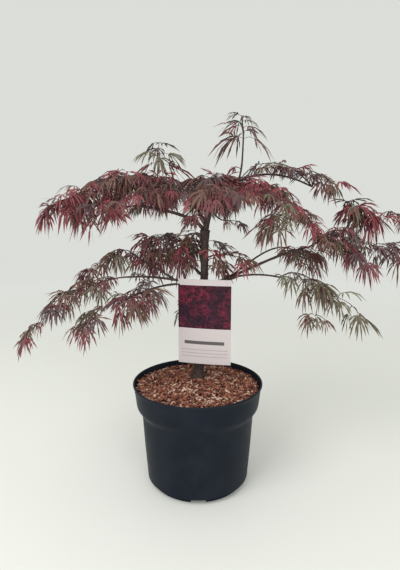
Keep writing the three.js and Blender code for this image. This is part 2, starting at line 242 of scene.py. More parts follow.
def youngBark(name, dark, mid, pale):
    # thin maple bark: streaks along the wood, pale dots of breathing pores
    made, shader, place = startMaterial(name, mid, 0.72, 1.45)
    stretch = addNode("ShaderNodeMapping", {"Scale": (1, 1, 0.22)}, {"Vector": place})
    streak = addNoise((stretch, "Vector"), 2.2, 4.0)
    ground = mixColours(addRange(streak, 0.35, 0.65), dark, mid)
    pores = addNode("ShaderNodeTexVoronoi", {"Scale": 1 / (4 * mm)}, {"Vector": place})
    dot = addRange((pores, "Distance"), 0.22, 0.12, 0.0, 0.6)
    wire(mixColours(dot, ground, pale), shader, "Base Color")
    addBump(shader, streak, 0.5, 0.5)
    return made


def leafSkin(name, colour):
    # living leaf: a plain tint with a thin waxy gloss that breaks up over the veins
    made, shader, place = startMaterial(name, colour, 0.5, 1.42, 0.3)
    wax = addNoise(place, 3, 3.0)
    wire(addRange(wax, 0.0, 1.0, 0.38, 0.66), shader, "Roughness")
    addBump(shader, wax, 0.25, 0.3)
    return made


def barkChip(name, dark, pale):
    # shredded conifer bark: fibrous, dry and matt, each flake in one tone with darker grain
    made, shader, place = startMaterial(name, pale, 0.92, 1.4)
    fibre = addNoise(place, 1.6, 4.0)
    wire(mixColours(addRange(fibre, 0.35, 0.6), dark, pale), shader, "Base Color")
    addBump(shader, fibre, 0.6, 0.5)
    return made


def startCard(name, colour, roughness, specular=0.5):
    # coated card, printed and laminated: smooth, with the faint waviness of the film
    made, shader, place = startMaterial(name, colour, roughness, 1.5, specular)
    addBump(shader, addNoise(place, 14), 0.15, 0.4)
    return made, shader, place


def cardStock(name, colour, roughness=0.34):
    return startCard(name, colour, roughness)[0]


def printedPicture():
    # the card's picture: an out-of-focus mass of dark plum leaves, as soft blotches with no outline
    made, shader, place = startCard("laminated card, dark print", "#2c1620", 0.5, 0.15)
    plum = mixColours(addRange(addNoise(place, 22), 0.42, 0.62), "#36192a", "#6c2138")
    leafy = addRange(addNoise(place, 5, 4.0, 0.65), 0.38, 0.62)
    wire(mixColours(leafy, "#1b0e15", plum), shader, "Base Color")
    return made


def solidTriangles(name):
    # a node's surface as an array of triangles, three points each
    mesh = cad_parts[name].data
    mesh.calc_loop_triangles()
    points = np.empty(len(mesh.vertices) * 3)
    corners = np.empty(len(mesh.loop_triangles) * 3, dtype=np.int32)
    mesh.vertices.foreach_get("co", points)
    mesh.loop_triangles.foreach_get("vertices", corners)
    return points.reshape(-1, 3)[corners.reshape(-1, 3)]


def ringMiddles(name, distance):
    # a limb's solid is rings of points: group the points by how far along they are, and give
    # each group's middle and its median radius
    ringGap, fewest = 3.2 * mm, 5
    points = np.unique(np.round(solidTriangles(name).reshape(-1, 3), 6), axis=0)
    far = distance(points)
    order = np.argsort(far)
    points, far = points[order], far[order]
    groups = np.split(points, np.nonzero(np.diff(far) > ringGap)[0] + 1)
    groups = [g for g in groups if len(g) >= fewest]
    middles = np.array([g.mean(0) for g in groups])
    radii = np.array([np.median(np.linalg.norm(g - g.mean(0), axis=1)) for g in groups])
    return middles, radii


pot = {
    "around": 240, "wall": 2 * mm, "floor": 3 * mm,
    # outside, from the foot up: radius and height
    "profile": [(79.6, 0), (80.8, 0.2), (81.6, 0.9), (81.9, 4), (82.2, 7.8), (82.8, 8.5), (87.6, 9.1),
                (89.2, 9.9), (90.6, 28), (92.3, 50), (94.0, 72), (95.3, 92), (96.1, 106), (96.8, 116.5),
                (97.4, 125.2), (98.1, 127.8), (100.0, 130.7), (102.7, 134.4), (105.0, 138.0), (106.2, 140.7),
                (106.8, 143.4), (107.4, 148), (108.4, 157), (109.6, 167), (110.4, 173.6), (110.8, 175.2),
                (111.6, 175.9), (112.2, 176.4), (112.5, 177.3), (112.5, 178.9), (112.1, 179.6), (111.3, 180),
                (110.4, 179.9), (109.8, 179.2), (109.5, 178)],
    "underside": [(0, 0), (40, 0), (70, 0)],  # rings under the pot
    "floorRing": 60 * mm,  # the radius of one on its floor
    "footTop": 10 * mm,  # the recesses' and slots' edges get rings below this
    "innerFoot": 6 * mm,  # the inside's wall begins above this
    "bandFoot": 142 * mm,  # above this the wall's inside is straight up to the rim
    "edge": (0.15 * mm, 0.0018),  # half of what such an edge takes up: height, turn in radians
    "recess": {"count": 5, "first": 271, "width": 24 * mm, "depth": 9 * mm, "height": 9 * mm},
    "slot": {"width": 13 * mm, "depth": 3.5 * mm, "low": 3.2 * mm, "high": 6.6 * mm},
    "recessRadius": 76 * mm,  # where the widths are measured
    "solidRadius": 72 * mm,  # nothing inside this radius is cut away
}


def buildPot():
    # radius(angle, height) = profile - recess depth inside each of five windows at the foot
    # - slot depth inside a smaller window in the middle of each; the inside is the same less the wall
    recess, slot, wall, floor = pot["recess"], pot["slot"], pot["wall"], pot["floor"]
    edgeHeight, edgeTurn = pot["edge"]
    body = np.array(pot["profile"]) * mm
    foot = body[body[:, 1] <= pot["footTop"]]
    cuts = [slot["low"], slot["high"], recess["height"]]
    extra = np.array([z + d for z in cuts for d in (-edgeHeight, edgeHeight)])
    low = np.concatenate([foot, np.stack([np.interp(extra, foot[:, 1], foot[:, 0]), extra], -1)])
    outer = np.concatenate([low[np.argsort(low[:, 1])], body[len(foot) :]])
    inner = body[(body[:, 1] > pot["innerFoot"]) & (body[:, 1] < pot["bandFoot"])][::-1] - [wall, 0]
    under = np.array(pot["underside"]) * mm
    bottom = [[inner[-1, 0] - wall, floor], [pot["floorRing"], floor], [0, floor]]
    profile = np.concatenate([under, outer, inner, bottom])
    inside = (np.arange(len(profile)) >= len(under) + len(outer))[:, None]
    middles = np.radians(recess["first"] + np.arange(recess["count"]) * 360 / recess["count"])
    halves = [side * hole["width"] / 2 / pot["recessRadius"] for hole in (recess, slot) for side in (-1, 1)]
    edges = [middles + half + turn for half in halves for turn in (-edgeTurn, edgeTurn)]
    angles = np.sort(np.concatenate([ringAngles(pot["around"]), *edges]) % (2 * math.pi))
    turns = np.abs((angles[:, None] - middles + math.pi) % (2 * math.pi) - math.pi).min(1)
    away = (turns * pot["recessRadius"])[None]
    radius, height = profile[:, :1], profile[:, 1:]
    wide = radius > pot["solidRadius"]
    recessed = wide & (height < recess["height"] + np.where(inside, wall, 0)) & (away < recess["width"] / 2)
    slotted = wide & (height > slot["low"]) & (height < slot["high"]) & ~inside & (away < slot["width"] / 2)
    radius = radius - (recess["depth"] * recessed + slot["depth"] * slotted)
    rings = np.stack([radius * np.cos(angles), radius * np.sin(angles), height + 0 * radius], -1)
    rings = rings[1:-1]  # the first and last rows are single points
    points = np.concatenate([rings.reshape(-1, 3), [[0, 0, 0], [0, 0, floor]]])
    made = meshPiece("nursery_pot", points, skinFaces(*rings.shape[:2]), [potPlastic()])
    made.data.set_sharp_from_angle(angle=math.radians(38))
    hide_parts("pot")


buildPot()
print("pot done")


mulch = {
    "edgeRadius": 106.6 * mm, "edge": 170 * mm, "crest": 177.4 * mm, "rings": 60, "around": 180,
    "sunk": 1.2 * mm,  # how far the fine bed lies below the flakes
    "skirt": 0.97, "skirtFoot": 150 * mm,  # the bed's lowest ring: share of its edge radius, and height
    "chips": 3300, "length": (4.5, 15), "width": (2.0, 5.2), "thick": (0.7, 2.2),  # in millimetres
    "margin": 2.2 * mm,  # between the outermost flakes' middles and the bed's edge
    "ragged": 0.22, "curl": 18, "pitch": 0.34, "roll": 0.5,  # spreads: outline, bend, turns in radians
    # flake tones, dark and pale, and their shares
    "tones": {"dark": ("#341a19", "#6a3c32", 0.27), "red": ("#52291f", "#965b47", 0.34),
              "rust": ("#643a2c", "#ae7a61", 0.24), "pale": ("#957060", "#d9bda8", 0.15)},
}


def mulchHeight(x, y):
    # a low mound with lumps: edge height + rise * (1 - (r/R)^2.4), and sums and products of waves
    share = np.clip(np.hypot(x, y) / mulch["edgeRadius"], 0, 1)
    lumps = np.sin(x * 310 + 1.3) * np.sin(y * 270 + 0.4) + 0.6 * np.sin(x * 640 + y * 410)
    lumps = lumps + 0.4 * np.sin(y * 900 - x * 300)
    return mulch["edge"] + (mulch["crest"] - mulch["edge"]) * (1 - share**2.4) + 0.7 * mm * lumps


def buildMulchBed():
    # the ground under the flakes is a disc of rings down to a skirt inside the pot
    share = np.sqrt(np.linspace(0, 1, mulch["rings"] + 1)[1:])[:, None]
    a = ringAngles(mulch["around"])
    x, y = share * mulch["edgeRadius"] * np.cos(a), share * mulch["edgeRadius"] * np.sin(a)
    bed = np.stack([x, y, mulchHeight(x, y) - mulch["sunk"]], -1)
    skirt = bed[-1:] * [mulch["skirt"], mulch["skirt"], 0] + [0, 0, mulch["skirtFoot"]]
    rings = np.concatenate([skirt, bed[::-1]])
    ends = [[0, 0, mulch["skirtFoot"]], [0, 0, mulch["crest"] - mulch["sunk"]]]
    points = np.concatenate([rings.reshape(-1, 3), ends])
    # the bed's near-black colour is partly the dark fines and partly painted shade for the gaps between the
    # flakes
    fines = barkChip("bark fines, painted dark as shade in the gaps", "#150908", "#2c1613")
    bedPiece = meshPiece("mulch_bed", points, skinFaces(*rings.shape[:2]), [fines])
    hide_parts("bark_mulch")


def buildFlakes():
    # a flake is a six-sided slab, its outline pulled about and its top edge drawn in,
    # laid near level on the mound and turned any way
    n = mulch["chips"]
    r = np.sqrt(dice.random(n)) * (mulch["edgeRadius"] - mulch["margin"])
    a = dice.random(n) * 2 * math.pi
    x, y = r * np.cos(a), r * np.sin(a)
    size = dice.random((3, n)) ** np.array([[1.5], [1.3], [1.0]])
    length, width, thick = (
        (low + (high - low) * share) * mm
        for (low, high), share in zip((mulch["length"], mulch["width"], mulch["thick"]), size)
    )
    corner = np.radians([0, 52, 128, 180, 232, 308])
    out = 1 + mulch["ragged"] * dice.standard_normal((n, 6))
    outline = np.stack([np.cos(corner) * length[:, None], np.sin(corner) * width[:, None]], -1)
    flat = outline * out[..., None] / 2
    layers = [(0.8, -0.5), (1.0, 0.0), (0.78, 0.5)]  # share of the outline, and of the thickness
    level = np.ones((n, 6, 1)) * thick[:, None, None]
    slab = np.stack([np.concatenate([flat * share, h * level], -1) for share, h in layers], 1)
    slab[..., 2] += dice.normal(0, mulch["curl"], (n, 1, 1)) * slab[..., 0] ** 2  # curled along the length
    ahead = heading(dice.random(n) * 2 * math.pi, dice.normal(0, mulch["pitch"], n))
    axes = np.stack([ahead, *leaningAxes(ahead, dice.normal(0, mulch["roll"], n))], 1)
    centre = np.stack([x, y, mulchHeight(x, y) + dice.uniform(-0.8, 1.6, n) * mm], -1)
    points = np.einsum("nlci,nij->nlcj", slab, axes) + centre[:, None, None]
    lid = np.array([[12, 13, 14, 17], [17, 14, 15, 16]])
    base = np.array([[3, 2, 1, 0], [5, 4, 3, 0]])
    flake = np.concatenate([gridFaces(3, 6), lid, base])
    tones = mulch["tones"]
    share = np.cumsum([t[2] for t in tones.values()])
    tone = np.searchsorted(share / share[-1], dice.random(n))
    for i, (name, (dark, pale, _)) in enumerate(tones.items()):
        mine = points[tone == i]
        meshPiece(f"bark_flakes_{name}", mine, [repeatFaces(flake, len(mine), 18)],
                  [barkChip(f"shredded bark, {name}", dark, pale)], smooth=False)


buildMulchBed()
buildFlakes()
print("mulch done")


wood = {
    "old": ("#1d1513", "#3d2a24", "#6d574b"),
    "young": ("#231414", "#46262a", "#77564f"),
    "step": 1.6 * mm,  # between a limb's rings
    "jointStep": 24,  # millimetres between old leaf joints
    "jointSwell": 0.10,
    "sink": 5 * mm,  # the stem goes on down into the bark by this
    "flare": 1.25,  # a bough's foot against the bough
    "sides": (28, 16, 12),  # round the stem, a bough and the top shoot
    "boughs": ["leader", "high_left_bough", "under_left_bough", "high_right_bough", "mid_right_bough",
               "upper_right_twin", "low_right_bough", "low_left_bough", "left_fork", "bottom_left_bough",
               "back_bough", "back_left_bough", "back_right_fork", "top_shoot"],  # parents first
}
limbs = {}  # name: (points, radii) along each limb, from its foot


def limbSkin(limb, piece, line, radii, sides, material, seed):
    # radius = taper * (1 + long ridges that wander round the limb + lumps + a swelling at each
    # old leaf joint)
    run = runLength(line)
    count = max(12, int(run[-1] / wood["step"]))
    path = smoothLine(line, count)
    at = np.linspace(0, run[-1], count)
    taper = np.interp(at, run, radii)[:, None]
    a, s = ringAngles(sides), at[:, None]
    ridges = 0.05 * np.abs(np.sin(2.5 * a + 40 * s + seed)) + 0.03 * np.sin(5 * a - 90 * s + 2 * seed)
    lumps = 0.035 * np.sin(2 * a + 130 * s + seed) + 0.02 * np.sin(3 * a - 420 * s + seed)
    away = ((s / (wood["jointStep"] * mm) + seed * 0.37) % 1 - 0.5) * wood["jointStep"]
    joint = wood["jointSwell"] * np.exp(-(away**2) / 3)
    radius = taper * (1 + ridges + lumps + joint - 0.03)
    points, faces = tubes(path[None], radius[None], sides)
    limbs[limb] = (path, taper[:, 0])
    return meshPiece(piece, points, faces, [material])


def nearest(line, point):
    return int(np.argmin(np.linalg.norm(line - point, axis=1)))


def buildWood():
    bark = youngBark("maple bark, older", *wood["old"])
    middles, radii = ringMiddles("trunk", lambda p: p[:, 2])
    line = np.vstack([middles[0] - [0, 0, wood["sink"]], middles])
    stemSides, boughSides, shootSides = wood["sides"]
    trunk = limbSkin("stem", "stem", line, np.concatenate([[radii[0]], radii]), stemSides, bark, 1.0)
    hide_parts("trunk")
    hub = limbs["stem"][0][-1]
    for i, name in enumerate(wood["boughs"]):
        # a bough's foot is its point nearest to the fork, mostly as seen from above
        points = solidTriangles(name).reshape(-1, 3)
        away = points - hub
        foot = points[np.argmin(np.linalg.norm(away[:, :2], axis=1) + 0.2 * np.abs(away[:, 2]))]
        middles, radii = ringMiddles(name, lambda p: np.linalg.norm(p - foot, axis=1))
        # and it is carried on to the middle of the limb that it springs from
        joins = [line[nearest(line, middles[0])] for line, _ in limbs.values()]
        join = min(joins, key=lambda p: np.linalg.norm(p - middles[0]))
        line, radii = np.vstack([join, middles]), np.concatenate([[radii[0] * wood["flare"]], radii])
        sides = shootSides if name == "top_shoot" else boughSides
        made = limbSkin(name, name + "_wood", line, radii, sides, bark, 1.7 + i)
        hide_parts(name)


buildWood()
print("stem and boughs done")


# Each mass: what its shoot grows from, which tints its sprays draw on, how full it is (1 is
# packed, under 0.6 shows sky) and how large its leaves are.
masses = {
    "crown_heart": ("leader", "rich", 0.85, 0.9),
    "arch_inner": ("crown_heart", "rich", 0.6, 0.88),
    "arch_middle": ("arch_inner", "rich", 0.62, 0.88),
    "arch_outer": ("arch_middle", "rich", 0.65, 1.0),
    "arch_spur": ("arch_middle", "warm", 0.65, 1.0),
    "high_left_inner": ("high_left_bough", "rich", 0.8, 0.95),
    "high_left_middle": ("high_left_inner", "rich", 0.8, 0.98),
    "high_left_outer": ("high_left_middle", "rich", 0.65, 0.95),
    "high_left_tip": ("high_left_outer", "rich", 0.8, 0.9),
    "under_left_pad": ("under_left_bough", "warm", 0.4, 1.15),
    "high_right_inner": ("high_right_bough", "dusky", 0.45, 0.85),
    "high_right_middle": ("high_right_inner", "rich", 0.5, 0.95),
    "high_right_outer": ("high_right_middle", "rich", 0.85, 1.0),
    "high_right_tip": ("high_right_outer", "dusky", 0.5, 0.9),
    "mid_right_inner": ("mid_right_bough", "dusky", 0.65, 0.95),
    "mid_right_outer": ("mid_right_inner", "dusky", 0.38, 0.95),
    "twin_pad": ("upper_right_twin", "warm", 0.55, 0.95),
    "low_right_inner": ("low_right_bough", "green", 0.38, 1.15),
    "low_right_outer": ("low_right_inner", "green", 0.35, 0.95),
    "low_right_spray": ("low_right_inner", "pale", 0.45, 0.8),
    "mid_left_inner": ("stem", "warm", 0.55, 1.0),
    "mid_left_middle": ("mid_left_inner", "warm", 0.5, 1.0),
    "mid_left_outer": ("left_fork", "rich", 0.65, 1.05),
    "mid_left_tip": ("mid_left_outer", "dusky", 0.6, 1.05),
    "low_left_inner": ("low_left_bough", "dusky", 0.6, 0.95),
    "low_left_middle": ("low_left_inner", "dusky", 0.6, 0.88),
    "low_left_tip": ("low_left_middle", "rich", 0.6, 0.72),
    "bottom_left_inner": ("bottom_left_bough", "warm", 0.5, 1.0),
    "bottom_left_outer": ("bottom_left_inner", "warm", 0.65, 0.88),
    "stem_spray": ("stem", "dusky", 0.5, 0.95),
    "under_crown_spray": ("crown_heart", "dusky", 0.3, 0.6),
    "front_left_pad": ("crown_heart", "rich", 0.2, 0.68),
    "front_pad": ("crown_heart", "rich", 0.45, 0.68),
    "front_right_pad": ("crown_heart", "rich", 0.32, 0.66),
    "back_left_pad": ("crown_heart", "rich", 0.5, 0.9),
    "back_pad": ("crown_heart", "rich", 0.5, 0.9),
    "back_right_pad": ("crown_heart", "rich", 0.3, 0.8),
    "low_back_pad": ("back_bough", "warm", 0.4, 0.75),
    "low_back_left_pad": ("back_left_bough", "dusky", 0.4, 1.0),
    "low_back_right_pad": ("back_right_fork", "dusky", 0.25, 0.85),
    "top_whorl": ("top_shoot", "dusky", 0.8, 1.2),
    "left_sprig_whorl": ("high_left_inner", "dusky", 0.8, 1.4),
}
upright = {"top_whorl", "left_sprig_whorl"}  # young shoots that stand up, with leaves in crossed pairs
bothWays = {"crown_heart": (0, 180, 95, 265)}  # entered from below: shoots leave at these azimuths

tints = {"crimson": "#7b3d43", "wine": "#683e42", "umber": "#684d44",
         "plum": "#554447", "olive": "#625a4a", "sage": "#7a7765"}
palettes = {  # shares of the tints, in the same order
    "rich": (0.25, 0.25, 0.28, 0.12, 0.10, 0.0),
    "warm": (0.24, 0.26, 0.24, 0.08, 0.16, 0.02),
    "dusky": (0.10, 0.24, 0.26, 0.24, 0.14, 0.02),
    "green": (0.02, 0.09, 0.23, 0.12, 0.34, 0.20),
    "pale": (0.0, 0.05, 0.15, 0.05, 0.35, 0.40),
}
growth = {
    "line": 0.78,  # how high in a mass its shoot runs
    "clear": 16 * mm,  # a shoot stops this far inside the mass, and its leaves reach the outline
    "spacing": (15 * mm, 11 * mm),  # between spray ends, level and upright, where a mass is packed
    "hang": 28 * mm,  # room kept below a spray's end for its leaves
    "roof": 3 * mm,  # and above it
    "margin": 3 * mm,  # and beside it
    "joint": 17 * mm,  # between leaf pairs on a twig
    "first": 4 * mm,  # a shoot's first station is this far inside the mass
    "shortest": 12 * mm,  # from there to its end
    "aimed": 0.4,  # how far an aimed shoot is drawn to the middle of its stations
    "shoot": (1.7 * mm, 0.5 * mm),  # radius at its foot, at most, and at its tip
    "twig": (0.75 * mm, 0.32 * mm),  # radius at its foot, and the least at its tip
    "close": 5 * mm,  # an end as near as this to a twig has its leaves on that twig
    "leafRoom": 27 * mm,  # with less room than this below them, leaves are smaller
    "stalk": (8, 15),  # millimetres
}
rayReach = 0.5  # longer than any mass
rayStart = 10 * mm  # outside a mass
twigs = []  # (points, radii)
leafNodes = []  # position, azimuth, rise, stalk length, size, tint


def cutAcross(triangles, point, normal):
    # where a plane meets a solid's edges
    far = (triangles - point) @ normal
    nextPoint, nextFar = np.roll(triangles, -1, 1), np.roll(far, -1, 1)
    crossing = far * nextFar < 0
    share = (far / (far - nextFar + 1e-15))[..., None]
    return (triangles + share * (nextPoint - triangles))[crossing]


def shootLine(triangles, entry, aim=None):
    # the mass is cut across at eight stations from where the shoot comes in to its far end, and
    # the shoot goes through the middle of each cut at a set share of its height
    points = triangles.reshape(-1, 3)
    if aim is None:
        offsets = points[:, :2] - entry[:2]
        away = offsets[np.argmax(np.linalg.norm(offsets, axis=1))]
    else:
        away = np.array([math.cos(math.radians(aim)), math.sin(math.radians(aim))])
    drawn = 1 if aim is None else growth["aimed"]
    axis = np.append(away / np.linalg.norm(away), 0)
    side = np.array([-axis[1], axis[0], 0])
    run = (points - entry) @ axis
    first = max(0, run.min()) + growth["first"]
    last = max(first + growth["shortest"], run.max() - growth["clear"])
    stations = []
    for far in np.linspace(first, last, 8):
        cut = cutAcross(triangles, entry + axis * far, axis)
        if len(cut) < 3:
            continue
        across = (cut - entry) @ side
        low, high = cut[:, 2].min(), cut[:, 2].max()
        middle = drawn * (across.min() + across.max()) / 2
        stations.append((far, middle, low + growth["line"] * (high - low) - entry[2]))
    # the shoot is the cubic that leaves the entry and best fits the stations
    far, *across = np.array(stations).T
    t = np.linspace(0, 1, 20)
    powers = lambda s: np.stack([s, s**2, s**3], -1)
    fits = [np.linalg.lstsq(powers(far / last), values, rcond=None)[0] for values in across]
    sideways, rise = (powers(t) @ fit for fit in fits)
    line = entry + axis * (t * last)[:, None] + side * sideways[:, None] + up * rise[:, None]
    return smoothLine(line, 20)


def addLeaf(point, azimuth, rise, size, tint, stalk=None):
    stalk = dice.uniform(*growth["stalk"]) * mm if stalk is None else stalk
    leafNodes.append((*point, azimuth, rise, stalk * size, size * dice.uniform(0.82, 1.12), tint))


def addJoint(point, ahead, fullness, size, tint):
    # a pair of leaves on opposite sides of a twig, sharing its slope
    azimuth, slope = math.atan2(ahead[1], ahead[0]), math.asin(ahead[2])
    for side in (-1, 1):
        if dice.random() < fullness:
            swing = dice.uniform(0.6, 1.2)
            rise = min(0.7 * slope, 0.2) + dice.uniform(-0.2, 0.3)
            addLeaf(point, azimuth + side * swing, rise, size, tint)


def addEnd(point, ahead, fullness, size, tint):
    # a twig ends in one leaf and a pair
    azimuth = math.atan2(ahead[1], ahead[0]) + dice.normal(0, 0.2)
    addLeaf(point, azimuth, min(math.asin(ahead[2]), 0.2), size, tint)
    addJoint(point, ahead, fullness, size * 0.95, tint)


def withinMass(tree, point):
    # a ray upwards from inside leaves through a face that looks up
    hit = tree.ray_cast(Vector(point), Vector(up), rayReach)
    return hit[0] is not None and hit[1].z > 0


def sprayEnds(tree, points, fullness):
    # jittered columns through the mass, with one spray's end or more in the upper part of each,
    # so that the leaves hung from them stay inside; gives each end's place and the room below
    low, high = points.min(0), points.max(0)
    level, upright = np.array(growth["spacing"]) / fullness**0.5
    rows = [np.arange(low[k] + level * dice.uniform(0, 1), high[k], level) for k in (0, 1)]
    columns = np.stack(np.meshgrid(*rows, indexing="ij"), -1).reshape(-1, 2)
    columns = columns + dice.uniform(-0.42, 0.42, columns.shape) * level
    around = [Vector(way) for way in heading(ringAngles(8), 0.0)]
    ends = []
    for x, y in columns:
        top = tree.ray_cast(Vector((x, y, high[2] + rayStart)), Vector(-up))[0]
        base = tree.ray_cast(Vector((x, y, low[2] - rayStart)), Vector(up))[0]
        if top is None or base is None:
            continue
        thick = top.z - base.z
        room = max(0, thick - growth["roof"] - min(growth["hang"], 0.8 * thick))
        count = 1 + int(room / upright)
        for i in range(count):
            drop = growth["roof"] + room * (i + dice.uniform(0.1, 0.9)) / count
            spot = Vector((x, y, top.z - drop))
            beside = min(tree.ray_cast(spot, way, rayReach)[3] or 0 for way in around)
            if beside > growth["margin"]:
                ends.append((x, y, top.z - drop, thick - drop))
    return np.array(ends).reshape(-1, 4)


def addTwig(start, along, end, radius, fullness, size, tint):
    # a twig leaves in between its parent's heading and the way to its end, rises a little,
    # and comes down on its end (a cubic Bezier curve); its leaves are in pairs
    way = end - start
    reach = np.linalg.norm(way)
    way = way / reach
    out = unit(0.45 * along + 0.55 * way + 0.25 * up)
    down = unit(way - 0.35 * up)
    handles = np.array([start, start + out * reach * 0.4, end - down * reach * 0.35 + up * reach * 0.06, end])
    t = np.linspace(0, 1, 8)[:, None]
    path = sum(c * (1 - t) ** (3 - k) * t**k * h for k, (c, h) in enumerate(zip((1, 3, 3, 1), handles)))
    twigs.append((path, np.linspace(radius, max(growth["twig"][1], radius * 0.6), len(path))))
    ahead = unit(np.gradient(path, axis=0))
    count = int(reach / growth["joint"])
    for j in range(1, count + 1):
        i = int(round(j / (count + 0.7) * (len(path) - 1)))
        addJoint(path[i], ahead[i], 0.85 * fullness, size, tint)
    addEnd(path[-1], ahead[-1], fullness, size, tint)
    return path, ahead


def growMass(name):
    # shoots through the mass with leaf pairs, then a twig to each spray's end, the nearest ends
    # first, from whichever point grown so far is near and heads that way
    source, palette, fullness, size = masses[name]
    triangles = solidTriangles(name)
    corners = triangles.reshape(-1, 3)
    tree = BVHTree.FromPolygons(corners.tolist(), np.arange(len(corners)).reshape(-1, 3).tolist())
    parent, parentRadii = limbs[source]
    near = len(parent) - 1 if source in wood["boughs"] else nearest(parent, corners.mean(0))
    entry, thick = parent[near], min(parentRadii[near], growth["shoot"][0])
    pick = lambda: dice.choice(len(tints), p=palettes[palette])
    if name in upright:
        growWhorl(size, parent, entry, thick, corners, pick)
        return
    lines = [shootLine(triangles, entry, aim) for aim in bothWays.get(name, (None,))]
    radii = [np.linspace(thick, growth["shoot"][1], len(line)) for line in lines]
    pool, ways = [], []
    for line, lineRadii in zip(lines, radii):
        twigs.append((line, lineRadii))
        ahead = unit(np.gradient(line, axis=0))
        inside = np.array([withinMass(tree, spot) for spot in line])
        kept = inside if inside.any() else slice(-2, None)
        pool.append(line[kept])
        ways.append(ahead[kept])
        step = max(1, int(growth["joint"] / np.linalg.norm(line[1] - line[0])))
        for spot, way in list(zip(pool[-1], ways[-1]))[::step]:
            addJoint(spot, way, fullness, size * 0.85, pick())
        addEnd(line[-1], ahead[-1], 1, size, pick())
    pool, ways = np.concatenate(pool), np.concatenate(ways)
    ends = sprayEnds(tree, corners, fullness)
    order = np.argsort([np.linalg.norm(pool - end[:3], axis=1).min() for end in ends])
    for *end, room in ends[order.astype(int)]:
        fit = size * float(np.clip(room / growth["leafRoom"], 0.75, 1.0))
        gap = end - pool
        far = np.linalg.norm(gap, axis=1)
        forward = np.sum(gap * ways, axis=1) / np.maximum(far, 1e-6)
        best = int(np.argmin(np.maximum(far, 6 * mm) * (1.5 - 0.7 * forward)))
        if far[best] < growth["close"]:
            addEnd(pool[best], ways[best], fullness, fit, pick())
            continue
        path, ahead = addTwig(pool[best], ways[best], end, growth["twig"][0], fullness, fit, pick())
        pool, ways = np.concatenate([pool, path[2:]]), np.concatenate([ways, ahead[2:]])
    limbs[name] = (np.vstack(lines), np.concatenate(radii))


def growWhorl(size, parent, entry, thick, corners, pick):
    # a young shoot stands up through the mass; leaves leave it in crossed pairs, smaller upwards
    clear = 5 * mm  # between the shoot's tip and the mass's top
    top = corners[:, 2].max()
    aim = np.append((corners.min(0) + corners.max(0))[:2] / 2 - [5 * mm, 0], top - clear)
    line = smoothLine([entry, entry + (aim - entry) * [0.5, 0.5, 0.55], aim], 20)
    twigs.append((line, np.linspace(thick, growth["shoot"][1], len(line))))
    full = np.vstack([parent, line])
    for j, drop in enumerate((1, 9, 18, 27, 35)):  # millimetres below the tip
        spot = full[int(np.argmin(np.abs(full[:, 2] - (top - clear - drop * mm))))]
        tint = pick()
        for side in (0, math.pi):
            swing = dice.normal(0.35, 0.3) + (math.pi / 2 if j % 2 else 0)
            rise = dice.uniform(-0.1, 0.4)
            stalk = dice.uniform(9, 16) * mm
            addLeaf(spot, swing + side, rise, size * (0.6 + 0.013 * drop), tint, stalk)


# Sprays that leave the bare stretches of a limb: share of the way along it, heading and slope in
# degrees, length in millimetres, shares of tints
sprigs = {
    "stem": [(0.93, 15, -5, 22, "dusky"), (0.97, 150, 10, 24, "dusky"), (0.87, -60, 10, 20, "dusky"),
             (0.82, -10, 0, 24, "dusky"), (0.74, 20, 15, 26, "dusky"), (0.95, 160, 5, 20, "dusky"),
             (0.80, 200, 10, 20, "dusky")],
    "leader": [(0.5, 200, 10, 24, "rich")],
    "high_left_bough": [(0.55, 250, -20, 18, "dusky"), (0.62, 190, -35, 16, "dusky"),
                        (0.3, 100, 30, 24, "rich"), (0.75, 60, 35, 26, "rich"), (0.15, 60, 60, 36, "rich")],
    "top_shoot": [(0.55, 185, 20, 8, "dusky"), (0.3, 20, 25, 14, "dusky")],
    "low_left_bough": [(0.72, 260, -15, 16, "dusky"), (0.85, 100, 10, 16, "dusky")],
    "bottom_left_bough": [(0.7, 150, 20, 18, "warm")],
    "high_right_bough": [(0.35, 70, 25, 16, "dusky"), (0.7, -40, 20, 16, "dusky"), (0.5, 10, 50, 16, "rich"),
                         (0.62, 30, 45, 18, "dusky"), (0.8, 20, 45, 18, "rich"), (0.92, -10, 40, 18, "rich")],
    "mid_right_bough": [(0.82, 60, 20, 16, "dusky")],
    "low_right_bough": [(0.88, 30, 0, 16, "green")],
}


def growSprig(limb, share, azimuth, slope, length, palette):
    # a short twig from a limb's skin; its leaves are smaller on a shorter one
    line, radii = limbs[limb]
    i = int(share * (len(line) - 1))
    way = heading(math.radians(azimuth), math.radians(slope))
    along = unit(line[min(i + 1, len(line) - 1)] - line[i - 1])
    tint = dice.choice(len(tints), p=palettes[palette])
    size = min(0.95, max(0.5, length / 28))
    start, end = line[i] + way * radii[i] * 0.5, line[i] + way * length * mm
    addTwig(start, unit(along + way), end, 0.7 * mm, 1, size, tint)


for number, massName in enumerate(masses):
    dice = np.random.default_rng(100 + number)  # so that a change to one mass leaves the others alone
    growMass(massName)
for limbName, sprays in sprigs.items():
    for spray in sprays:
        growSprig(limbName, *spray)
print(len(twigs), "twigs,", len(leafNodes), "leaves")


def buildTwigs():
    # every line is spaced to the same number of points, so that one array holds them all
    rows = 9
    paths = np.array([smoothLine(p, rows) for p, _ in twigs])
    radii = np.array([np.interp(np.linspace(0, 1, rows), np.linspace(0, 1, len(r)), r) for _, r in twigs])
    points, faces = tubes(paths, radii, 6)
    bark = youngBark("maple bark, this year's", *wood["young"])
    made = meshPiece("twigs", points, faces, [bark])
    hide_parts(*masses)


buildTwigs()

